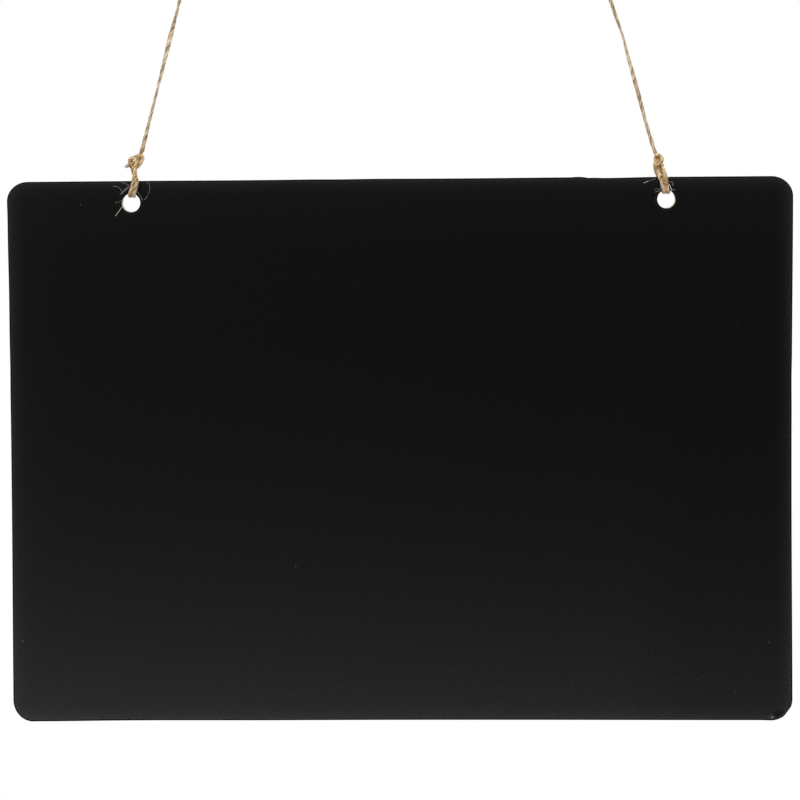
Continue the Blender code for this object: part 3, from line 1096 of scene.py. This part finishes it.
RIGHT_KNOT_ROUTE: tuple[Point, ...] = (
    (-5.45, 0, 22), (-4.95, 0, 20.55), (-4.3, -0.1, 19.1), (-3.7, -0.1, 17.7), (-3, 0, 16.3),
    (-2.25, -0.15, 15), (-1.7, -0.55, 13.6), (-1.3, -1.2, 12.25), (-0.9, -1.85, 10.9), (-0.55, -2.35, 9.45),
    (-0.25, -2.5, 7.95), (-0.05, -2.35, 6.45), (0.15, -2.25, 4.9), (0.45, -2.05, 3.55), (0.65, -1.3, 3.15),
    (0.8, 0.25, 3.15), (0.75, 1.8, 3.25), (0.65, 2.25, 4.05), (0.4, 2.25, 5.55), (0.05, 2.25, 7.05),
    (-0.45, 2.25, 8.55), (-1.15, 2.25, 9.95), (-1.8, 2.15, 11.35), (-2.4, 1.8, 12.75), (-3, 1.25, 14.05),
    (-3.75, 0.4, 15.05), (-3.95, -0.5, 15.25), (-4, -1.15, 14.6), (-3.8, -1.65, 13.15), (-3.55, -2.1, 11.7),
    (-3.2, -2.25, 10.2), (-2.75, -2.3, 8.7), (-2.25, -2.25, 7.25), (-1.75, -2.25, 5.75), (-1.3, -2.25, 4.3),
    (-0.95, -2.05, 3.45), (-0.85, -1.2, 3.15), (-0.8, 0.35, 3.15), (-0.9, 1.85, 3.3), (-1.15, 2.25, 4.05),
    (-1.65, 2.3, 5.5), (-2.2, 2.3, 7), (-2.7, 2.35, 8.45), (-3.15, 2.4, 9.9), (-3.65, 2.4, 11.4),
    (-4.15, 2.35, 12.85), (-4.45, 2.2, 14.35), (-4.45, 1.85, 15.9), (-4.2, 1.55, 17.4), (-3.8, 1.5, 18.25),
    (-2.95, 1.4, 18.5), (-2.25, 1, 18.05), (-1.8, -0.1, 17.05), (-2.05, -1.2, 16), (-2.85, -2.1, 15.05),
    (-3.9, -2.75, 14.15), (-4.75, -2.6, 13.4), (-5.1, -2.05, 12.7),
)
EYE_ROUTE: tuple[Point, ...] = (
    (0, 0, -26.35), (0, 0, -24.9), (0, 0.5, -23.5), (0, 0.9, -22.0), (-0.2, 0.5, -20.4),
    (-0.3, 0.1, -18.6), (-0.9, -0.1, -16.6), (-1.9, -0.1, -14.3), (-3.0, -0.1, -11.7), (-3.8, -0.1, -8.9),
    (-4.1, 0, -6.1), (-3.7, 0, -3.3), (-2.4, 0, -0.8), (0, 0, 0.75), (2.3, 0.1, -0.7),
    (3.7, 0.2, -3.2), (4.2, 0.5, -6.1), (4.1, 0.9, -8.9), (3.8, 1.4, -11.7), (3.4, 1.9, -14.3),
    (3.0, 2.2, -16.5), (2.8, 2.2, -17.9), (3.55, 1.9, -19.3), (3.6, 0.3, -20.8), (2.6, -1.0, -22.0),
    (1.1, -1.6, -22.9), (-0.4, -1.7, -23.5), (-1.7, -0.9, -23.2), (-2.2, 0.8, -22.3), (-1.4, 2.4, -21.4),
    (0, 2.9, -20.9), (1.1, 2.3, -20.4), (1.7, 0.9, -19.5), (2.0, -0.3, -18.5), (2.9, -0.9, -17.6),
    (4.1, -1.0, -17.1),
)
LEFT_SLUBS: tuple[Point, ...] = (
    (-0.0895, 1.2, 0), (-0.0870, 1.18, 0.05), (-0.0765, 0.84, 0), (-0.0638, 0.68, 0.05), (-0.0540, 1.0, 0.1),
    (-0.0436, 1.26, 0), (-0.0300, 0.76, 0.2), (-0.0255, 0.9, 0),
)
RIGHT_SLUBS: tuple[Point, ...] = (
    (-0.0895, 1.08, 0), (-0.0810, 0.88, -0.1), (-0.0710, 1.08, 0.3), (-0.0625, 1.16, 0.6),
    (-0.0541, 0.96, 0.7), (-0.0430, 0.64, 1.2), (-0.0330, 0.98, 0.5), (-0.0255, 0.9, 0),
)


@dataclass(frozen=True)
class Fibre:
    """One fibre or loose ply that stands off the twine.

    Attributes:
        radius: Its radius in millimetres.
        route: Its points in millimetres from the hole's centre.
        pale: Whether it is bleached, or the twine's own colour.
    """

    radius: float
    route: tuple[Point, ...]
    pale: bool = True


LEFT_FIBRES: tuple[Fibre, ...] = (
    Fibre(0.042, ((-0.52, -2.6, 7.05), (-1.62, -2.4, 5.97), (-2.94, -2.1, 4.83), (-4.55, -1.9, 3.51))),
    Fibre(0.028, ((-0.8, -2.5, 6.13), (-2.12, -2.2, 5.32), (-3.69, -2, 3.91))),
    Fibre(0.022, ((-0.51, -2.6, 7.67), (-1.42, -2.3, 6.4), (-2.64, -2.1, 5.75), (-3.34, -2, 4.92))),
    Fibre(
        0.035,
        (
            (-7.42, -1.75, 7.02), (-6.31, -1.8, 7.01), (-5.15, -1.9, 6.74), (-4.26, -2, 5.77),
            (-3.76, -2, 4.84), (-3.45, -1.9, 4),
        ),
    ),
    Fibre(0.03, ((-4, -1.8, 8.93), (-2.97, -2, 8.32), (-1.84, -2.2, 7.92), (-0.46, -2.4, 7.52))),
    Fibre(0.1, ((-3.71, -1.7, -1.7), (-5.07, -1.8, -3.63), (-6.53, -1.8, -5.47))),
    Fibre(0.025, ((-6.69, -1.7, 0.09), (-5.53, -1.8, 0.32), (-4.08, -1.9, 0.73), (-2.78, -2, 1.89))),
    Fibre(
        0.03,
        (
            (6.98, -1.8, 8.97), (7.78, -1.8, 8.21), (8.21, -1.9, 7.2), (8.02, -1.9, 5.35), (7.45, -1.9, 3.42),
            (6.66, -1.8, 2.09), (5.72, -1.8, 1.21),
        ),
    ),
    Fibre(
        0.035,
        ((2.64, -2.4, 5.19), (3.51, -2.1, 3.86), (4.31, -1.9, 2.6), (4.88, -1.8, 1.6), (5.13, -1.8, 0.67)),
    ),
    Fibre(0.42, ((0.76, 0.9, 18.79), (0.4, 1, 17.96), (0.15, 0.9, 16.94), (0.1, 0.6, 15.66)), False),
    Fibre(0.4, ((2.14, -1.2, 15.51), (1.11, -1.1, 14.77), (0.53, -0.7, 14.05), (0.23, -0.4, 13.4)), False),
    Fibre(0.3, ((2.36, 0.9, 17.85), (1.69, 0.8, 17.09), (1.2, 0.6, 16.07)), False),
    Fibre(0.36, ((0.5, 0.3, 16.85), (1.25, 0.4, 17.45), (2.05, 0.5, 17.75), (2.85, 0.6, 18.1)), False),
    Fibre(0.36, ((-1.0, -1.1, 16.35), (-1.6, -1.25, 15.95), (-2.1, -1.2, 15.3), (-2.35, -1.1, 14.9))),
    Fibre(0.34, ((-0.78, -0.2, 17.54), (-0.2, -0.7, 16.66), (0.41, -0.9, 15.8), (1.01, -1, 14.87)), False),
)
RIGHT_FIBRES: tuple[Fibre, ...] = (
    Fibre(0.09, ((-9.62, -1.8, 6.82), (-8.62, -1.9, 7.23), (-7.63, -2, 7.59))),
    Fibre(0.035, ((-7.8, -2, 7.51), (-6.39, -2.1, 8.07), (-4.66, -2.4, 8.58))),
    Fibre(0.045, ((-5.11, -1.8, 4.12), (-3.63, -2.1, 4.26), (-2, -2.5, 4.22))),
    Fibre(0.04, ((-4.94, -1.8, 3.03), (-3.54, -2, 3.47), (-2.16, -2.4, 3.56))),
    Fibre(
        0.055,
        ((1.11, -2.3, 7.13), (1.96, -2.1, 7.31), (2.56, -2, 6.89), (2.73, -1.9, 6.23), (2.48, -1.9, 5.65)),
    ),
    Fibre(0.16, ((0.96, -2.9, 6.26), (1.38, -2.9, 5.26), (1.72, -2.8, 4.34), (2.17, -2.5, 3.44))),
    Fibre(
        0.42,
        (
            (-2.98, -2.3, 11.75), (-2.17, -2.5, 10.23), (-1.51, -2.6, 8.63), (-1.06, -2.7, 6.87),
            (-0.64, -2.6, 5.04), (-0.23, -2.3, 3.39),
        ),
        False,
    ),
    Fibre(
        0.36, ((-1.85, -1.9, 12.77), (-1.48, -2.3, 11.32), (-1.22, -2.6, 9.88), (-1.08, -2.5, 8.55)), False
    ),
    Fibre(0.05, ((1.95, -2.2, 4.21), (2.8, -2, 4.05), (3.48, -1.9, 3.89))),
    Fibre(0.08, ((0.28, -2.2, 9.23), (1.12, -2.2, 8.81))),
    Fibre(0.36, ((-2.69, 0.6, 18.3), (-2.5, 0.4, 17.28), (-2.19, 0.2, 16.26), (-1.79, 0, 15.24)), False),
    Fibre(0.38, ((-4.42, 0, 18.02), (-3.73, -0.6, 16.72), (-2.98, -1.5, 15.39), (-2.07, -1.6, 14.13)), False),
    Fibre(0.36, ((-2.3, 0.3, 17.86), (-3.22, -0.5, 16.8), (-4.07, -0.7, 15.88), (-4.73, -0.6, 15.05)), False),
)

# How many parts the smooth curve has between two points of a route
SPAN_PARTS = 24
# The least length that a share is taken of, so that nothing is divided by 0
TINY = 1e-12


@dataclass
class Centreline:
    """A smooth line through a route's points, evenly spaced, with a frame that doesn't twist.

    Attributes:
        points: Its points.
        step: Their spacing.
        lower: The number of the point at the lower seam.
        upper: The number of the point at the upper seam.
        across: The way out of the line at each point that the twine's angles are counted from.
        beside: The way square to both.
    """

    points: list[Vector]
    step: float
    lower: int
    upper: int
    across: list[Vector] = field(default_factory=list)
    beside: list[Vector] = field(default_factory=list)

    def __post_init__(self) -> None:
        """Carry a frame along the line."""
        side = Vector((0, 1, 0))
        for number in range(len(self.points)):
            heading = self.heading(number)
            side = (side - heading * side.dot(heading)).normalized()
            self.across.append(side.copy())
            self.beside.append(heading.cross(side))

    def heading(self, number: int) -> Vector:
        """Return the line's direction at one of its points."""
        ahead = self.points[min(number + 1, len(self.points) - 1)]
        return (ahead - self.points[max(number - 1, 0)]).normalized()

    @staticmethod
    def curve(route: Sequence[Vector]) -> list[Vector]:
        """Draw a smooth curve through a route, whose points needn't be evenly spaced.

        Args:
            route: The route's points.

        Returns:
            The curve's points, SPAN_PARTS for each stretch of the route and one at its end.
        """
        ends = [2 * route[0] - route[1], *route, 2 * route[-1] - route[-2]]
        dense: list[Vector] = []
        for before, start, end, after in zip(ends, ends[1:], ends[2:], ends[3:]):
            t1 = math.sqrt((start - before).length)
            t2 = t1 + math.sqrt((end - start).length)
            t3 = t2 + math.sqrt((after - end).length)
            for part in range(SPAN_PARTS):
                t = t1 + (t2 - t1) * part / SPAN_PARTS
                a1 = before.lerp(start, t / t1)
                a2 = start.lerp(end, (t - t1) / (t2 - t1))
                a3 = end.lerp(after, (t - t2) / (t3 - t2))
                b1 = a1.lerp(a2, t / t2)
                b2 = a2.lerp(a3, (t - t1) / (t3 - t1))
                dense.append(b1.lerp(b2, (t - t1) / (t2 - t1)))
        return [*dense, route[-1].copy()]

    @staticmethod
    def through(route: Sequence[Vector], seams: Sequence[int], step: float) -> "Centreline":
        """Make the line through a route.

        Args:
            route: The route's points.
            seams: The numbers of the route's points at its lower and its upper seam.
            step: The spacing of the line's points.

        Returns:
            The line.
        """
        dense = Centreline.curve(route)
        walked = [0.0]
        for start, end in zip(dense, dense[1:]):
            walked.append(walked[-1] + (end - start).length)
        count = round(walked[-1] / step)
        points = []
        at = 0
        for number in range(count + 1):
            want = walked[-1] * number / count
            while at < len(walked) - 2 and walked[at + 1] < want:
                at += 1
            share = (want - walked[at]) / max(walked[at + 1] - walked[at], TINY)
            points.append(dense[at].lerp(dense[at + 1], share))
        lower, upper = (round(walked[seam * SPAN_PARTS] / walked[-1] * count) for seam in seams)
        return Centreline(points, step, lower, upper)


@dataclass
class Twine:
    """One side's twine: the tied end, the straight stretch and the hanging eye, as one line cut in three.

    Attributes:
        side: Which side it is on.
        nail: The point that its eye hangs on.
        lean: The lean of its eye, in degrees.
        slubs: Heights along the straight stretch, and how thick and how far aside, in radii, it is there.
        flipped: Whether its eye is seen from the back.
        seed: The seed of its unevenness.
        step: The spacing of its rings.
        sides: How many points go round it.
        radius: The twine's radius.
        knot_fullness: How much fuller the twine looks in a knot.
        knot_swell: How far its thickness drifts in a knot.
        swell: How far it drifts everywhere, over shorter stretches.
        waves: How quickly both drift along it, in waves per metre.
        tail_taper: How much thinner its end is.
        tail_length: The length over which its end thins.
        pitch: The length of one turn of its two plies, in the straight stretch.
        knot_pitch: The same in a knot and in the eye.
        ease: The length over which the straight stretch takes on the look of a knot.
        lobes: How far the plies stand out of the groove between them, as a share of the radius.
        ply_round: The power that rounds a ply, less than 1 for a fuller one.
        ply_middle: The ply's height that lies at the radius.
        rough: How rough its skin is, as a share of the radius.
        rough_waves: How fine that is round it and along it.
        groove: The power that narrows the painted shade in the groove between the plies.
        crowd_reach: How near, in radii, another turn begins to give it painted shade.
        crowd_apart: How far along the line another turn has to be to count as one.
        crowd_dark: How dark the painted shade is where two turns touch.
        crowd_fall: The power by which that fades.
        seam: The route point where a knot's own piece begins.
        strand_points: How many points the straight stretch has.
        flex: Half a length over which it could bend when the panel swings. Not used.
        hairs_wanted: How many stray fibres the knot, the straight stretch and the eye have.
        hair_gap: How far above the lower seam the first of the straight stretch's are.
        hair_radius: The radius of a stray fibre.
        hair_length: The shortest and the longest of them, in millimetres.
        hair_lift: How far they point outwards, at least and at most.
        hair_root: How deep they begin, as a share of the radius.
        hair_steps: How many steps each has.
        hair_taper: How much thinner each step is.
        hair_curl: How far each step turns.
        bleached: The colour of a bleached fibre.
    """

    side: Side
    nail: Point
    lean: float
    slubs: tuple[Point, ...]
    flipped: bool
    seed: int
    step: float = 0.00015
    sides: int = 20
    radius: float = 0.00075
    knot_fullness: float = 1.08
    knot_swell: float = 0.16
    swell: float = 0.09
    waves: Range = (190, 800)
    tail_taper: float = 0.3
    tail_length: float = 0.002
    pitch: float = 0.0100
    knot_pitch: float = 0.0062
    ease: float = 0.002
    lobes: float = 0.2
    ply_round: float = 0.7
    ply_middle: float = 0.75
    rough: float = 0.08
    rough_waves: Range = (3, 900)
    groove: float = 1.2
    crowd_reach: float = 1.8
    crowd_apart: float = 0.0024
    crowd_dark: float = 0.5
    crowd_fall: float = 1.5
    seam: int = 2
    strand_points: int = 25
    flex: float = 0.0013
    hairs_wanted: tuple[int, int, int] = (110, 60, 90)
    hair_gap: float = 0.004
    hair_radius: float = 0.000025
    hair_length: Range = (0.6, 2.6)
    hair_lift: Range = (0.15, 0.9)
    hair_root: float = 0.75
    hair_steps: int = 6
    hair_taper: float = 0.11
    hair_curl: float = 0.22
    bleached: Colour = display(198, 197, 196)

    def from_hole(self, point: Point) -> Vector:
        """Return the place of a point that is given in millimetres from the hole's centre."""
        hole = Vector((-HOLE_OUT if self.side is Side.LEFT else HOLE_OUT, 0, HOLE_LEVEL))
        return hole + Vector(point) * MILLIMETRE

    def knot_points(self) -> list[Vector]:
        """Return the tied end's route in place, from its bend down to its tail."""
        route = LEFT_KNOT_ROUTE if self.side is Side.LEFT else RIGHT_KNOT_ROUTE
        return [self.from_hole(point) for point in route]

    def eye_points(self) -> list[Vector]:
        """Work out the hanging eye's route in place, from its strand up to its tail.

        Returns:
            The route.
        """
        turn = Matrix.Rotation(math.radians(self.lean), 3, "Y")
        if self.flipped:
            turn = turn @ Matrix.Rotation(math.pi, 3, "Z")
        return [Vector(self.nail) + turn @ (Vector(point) * MILLIMETRE) for point in EYE_ROUTE]

    def line(self) -> Centreline:
        """Draw the whole line, from the tied end's tail to the eye's.

        Returns:
            The line.
        """
        knot = self.knot_points()
        eye = self.eye_points()
        points = knot[::-1]
        lower = len(points) - 1 - self.seam
        for step in range(1, self.strand_points - 1):
            share = step / (self.strand_points - 1)
            point = knot[0].lerp(eye[0], share)
            point.x += self.slub(point.z)[1] * self.radius
            points.append(point)
        upper = len(points) + self.seam
        return Centreline.through(points + eye, (lower, upper), self.step)

    def slub(self, height: float) -> Range:
        """Work out how thick the twine is at a height, and how far aside it lies.

        Args:
            height: The height.

        Returns:
            Its thickness as a share of the usual, and the distance in radii.
        """
        for low, high in zip(self.slubs, self.slubs[1:]):
            if low[0] <= height <= high[0]:
                share = (height - low[0]) / (high[0] - low[0])
                share = share * share * (3 - 2 * share)
                return low[1] + (high[1] - low[1]) * share, low[2] + (high[2] - low[2]) * share
        return 1.0, 0.0

    def fullness(self, along: float, height: float, in_knot: float) -> float:
        """Work out the twine's uneven thickness at a place.

        Args:
            along: The distance along the line from the tail's end.
            height: The place's height.
            in_knot: 1 inside a knot and 0 on the straight stretch.

        Returns:
            The thickness, as a share of the radius.
        """
        slow = noise.noise(Vector((along * self.waves[0], self.seed, 0)))
        quick = noise.noise(Vector((along * self.waves[1], 0, self.seed)))
        tail = 1 - self.tail_taper + self.tail_taper * min(1, along / self.tail_length)
        knotted = (self.knot_fullness + self.knot_swell * slow) * tail
        return knotted * in_knot + self.slub(height)[0] * (1 - in_knot) + self.swell * quick

    def turns(self, line: Centreline, number: int) -> float:
        """Return how many turns the plies have made at a point of the line."""
        straight = max(0, min(number, line.upper) - line.lower)
        return ((number - straight) / self.knot_pitch + straight / self.pitch) * line.step

    def ring(self, line: Centreline, number: int) -> list[tuple[Vector, float]]:
        """Work out the twine's skin round one point of the line.

        Args:
            line: The line.
            number: The point's number.

        Returns:
            The skin's points, and how deep in the groove between the plies each is, from 0 to 1.
        """
        along = number * line.step
        ease = self.ease / line.step
        below = (line.lower + ease - number) / ease
        above = (number - line.upper + ease) / ease
        in_knot = max(0, min(1, below), min(1, above))
        size = self.radius * self.fullness(along, line.points[number].z, in_knot)
        phase = math.tau * self.turns(line, number)
        around, lengthwise = self.rough_waves
        ring = []
        for k in range(self.sides):
            angle = math.tau * (k + 0.5) / self.sides
            ply = abs(math.sin(angle)) ** self.ply_round
            wave = (math.cos(angle) * around, math.sin(angle) * around, along * lengthwise + self.seed)
            rough = 1 + self.rough * noise.noise(Vector(wave))
            reach = size * (1 + self.lobes * (ply - self.ply_middle)) * rough
            spot = (
                line.points[number]
                + line.across[number] * reach * math.cos(angle + phase)
                + line.beside[number] * reach * math.sin(angle + phase)
            )
            ring.append((spot, (1 - ply) ** self.groove))
        return ring

    def crowding(self, near: kdtree.KDTree, spot: Vector, number: int) -> float:
        """Work out the painted shade at a point of the skin because another turn lies against it.

        Args:
            near: The line's points.
            spot: The point of the skin.
            number: The number of the line's point that it belongs to.

        Returns:
            The painted shade, from 0 to 1.
        """
        widest = self.crowd_reach * self.radius
        apart = self.crowd_apart / self.step
        others = (gap for _, j, gap in near.find_range(spot, widest) if abs(number - j) > apart)
        crowding = (self.crowd_reach - min(others, default=widest) / self.radius) / (self.crowd_reach - 1)
        return self.crowd_dark * min(1.0, crowding) ** self.crowd_fall

    def cover(self, shape: Shape, rings: Sequence[Sequence[Vert]], start: int, unwrap: object) -> None:
        """Join the rings with unwrapped faces, and close both ends.

        Args:
            shape: The bmesh.
            rings: Its rings of vertices.
            start: The number of the first ring's point on the line.
            unwrap: The layer that takes the unwrapped places.
        """
        girth = math.tau * self.radius
        for row, (ring, following) in enumerate(zip(rings, rings[1:])):
            v = (start + row) * self.step / girth
            v_next = v + self.step / girth
            for k in range(self.sides):
                j = (k + 1) % self.sides
                u = k / self.sides
                u_next = (k + 1) / self.sides
                face = shape.faces.new((ring[k], ring[j], following[j], following[k]))
                for loop, corner in zip(face.loops, ((u, v), (u_next, v), (u_next, v_next), (u, v_next))):
                    loop[unwrap].uv = corner
        shape.faces.new(rings[0][::-1])
        shape.faces.new(rings[-1])

    def sweep(self, name: str, line: Centreline, start: int, end: int, looks: Material) -> Piece:
        """Sweep the two twisted plies along part of the line.

        Args:
            name: The piece's name.
            line: The line.
            start: The number of its first point.
            end: The number of its last point.
            looks: The twine's finish.

        Returns:
            The piece.
        """
        shape = bmesh.new()
        unwrap = shape.loops.layers.uv.new("UVMap")
        crease_shade = shape.verts.layers.float.new("crease_shade")
        near = kdtree.KDTree(end + 1 - start)
        for number in range(start, end + 1):
            near.insert(line.points[number], number)
        near.balance()
        rings = []
        for number in range(start, end + 1):
            ring = []
            for spot, groove in self.ring(line, number):
                vert = shape.verts.new(spot)
                # Each vertex keeps its painted shade: the groove between the plies, or another turn lying
                # against it, whichever is darker
                vert[crease_shade] = max(groove, self.crowding(near, vert.co, number))
                ring.append(vert)
            rings.append(ring)
        self.cover(shape, rings, start, unwrap)
        bmesh.ops.recalc_face_normals(shape, faces=shape.faces)
        return finish_mesh(name, shape, [looks], True)

    def hairs(self, name: str, line: Centreline, start: int, end: int, count: int, looks: Material) -> Piece:
        """Grow short stray fibres from part of the line.

        Args:
            name: The piece's name.
            line: The line.
            start: The number of the first point that may hold one.
            end: The number of the last.
            count: How many there are.
            looks: Their finish.

        Returns:
            The piece.
        """
        chance = random.Random(f"{self.seed} {name}")
        data = bpy.data.curves.new(name, "CURVE")
        data.dimensions = "3D"
        data.bevel_depth = self.hair_radius
        data.bevel_resolution = 0
        data.use_fill_caps = True
        data.materials.append(looks)
        for _ in range(count):
            number = chance.randint(start, end)
            angle = chance.uniform(0, math.tau)
            outward = line.across[number] * math.cos(angle) + line.beside[number] * math.sin(angle)
            way = line.heading(number) * chance.choice((-1, 1)) + outward * chance.uniform(*self.hair_lift)
            way.normalize()
            length = chance.uniform(*self.hair_length) * MILLIMETRE
            curl = Vector([chance.uniform(-1, 1) for _ in range(3)])
            spline = data.splines.new("POLY")
            spline.points.add(self.hair_steps)
            at = line.points[number] + outward * self.radius * self.hair_root
            for step, target in enumerate(spline.points):
                target.co = (*at, 1)
                target.radius = 1 - self.hair_taper * step
                way = (way + curl * self.hair_curl).normalized()
                at = at + way * length / self.hair_steps
        return link_object(name, data)

    def place_fibres(self, data: bpy.types.Curve) -> None:
        """Add this side's own long fibres and loose plies to the short ones round its knot.

        Args:
            data: The curve of the short ones.
        """
        stray = JuteTwine(f"{self.side.value}_stray_fibre", *(self.bleached,) * 3, low_tint=0)
        data.materials.append(stray.make())
        for fibre in LEFT_FIBRES if self.side is Side.LEFT else RIGHT_FIBRES:
            spline = data.splines.new("NURBS")
            spline.points.add(len(fibre.route) - 1)
            spline.order_u = 3
            spline.use_endpoint_u = True
            spline.material_index = int(fibre.pale)
            for target, point in zip(spline.points, fibre.route):
                target.co = (*self.from_hole(point), 1)
                target.radius = fibre.radius * MILLIMETRE / data.bevel_depth

    def build(self) -> None:
        """Build the three pieces of twine and their stray fibres."""
        label = self.side.value
        line = self.line()
        last = len(line.points) - 1
        golden = JuteTwine(f"{label}_knot_jute").make()
        # The straight stretch takes a paler, greyer copy of the jute: painted light from the white surround
        # behind it. Its lower end is tinted towards the knots' gold
        pale = JuteTwine(
            f"{label}_backlit_strand_jute", deep=display(100, 73, 40), middle=display(186, 162, 126),
            light=display(236, 219, 188), patches=0.8, uneven=0.05, low_tint_colour=display(160, 116, 62),
            low_tint_from=-0.0835, low_tint_to=-0.0890,
        ).make()
        knot = self.sweep(f"{label}_tied_end", line, 0, line.lower, golden)
        strand = self.sweep(f"{label}_stretch", line, line.lower, line.upper, pale)
        eye = self.sweep(f"{label}_hanging_eye", line, line.upper, last, golden)
        gap = round(self.hair_gap / line.step)
        on_knot, on_strand, on_eye = self.hairs_wanted
        knot_hairs = self.hairs(f"{label}_tied_end_fibres", line, 0, line.lower - gap // 2, on_knot, golden)
        self.place_fibres(knot_hairs.data)
        strand_hairs = self.hairs(
            f"{label}_stretch_fibres", line, line.lower + gap, line.upper, on_strand, pale
        )
        eye_hairs = self.hairs(f"{label}_hanging_eye_fibres", line, line.upper, last, on_eye, golden)
        for piece, node in ((knot, "knot"), (strand, "strand"), (eye, "hanging_loop")):
            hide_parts(f"{label}_{node}")
        for piece in (knot, knot_hairs):
            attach(piece, "board")
        for piece in (strand_hairs, eye, eye_hairs):
            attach(piece, "hung_twine")
        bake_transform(strand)


def main() -> None:
    """Build the studio, the twine and the panel."""
    logging.basicConfig(level=logging.INFO, format="%(message)s")
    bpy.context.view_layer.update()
    Studio().build()
    Twine(Side.LEFT, nail=(-0.0846, 0, 0), lean=14.4, slubs=LEFT_SLUBS, flipped=False, seed=3).build()
    Twine(Side.RIGHT, nail=(0.0805, 0, 0), lean=-17.3, slubs=RIGHT_SLUBS, flipped=True, seed=11).build()
    Panel().build()


if __name__ == "__main__":
    main()
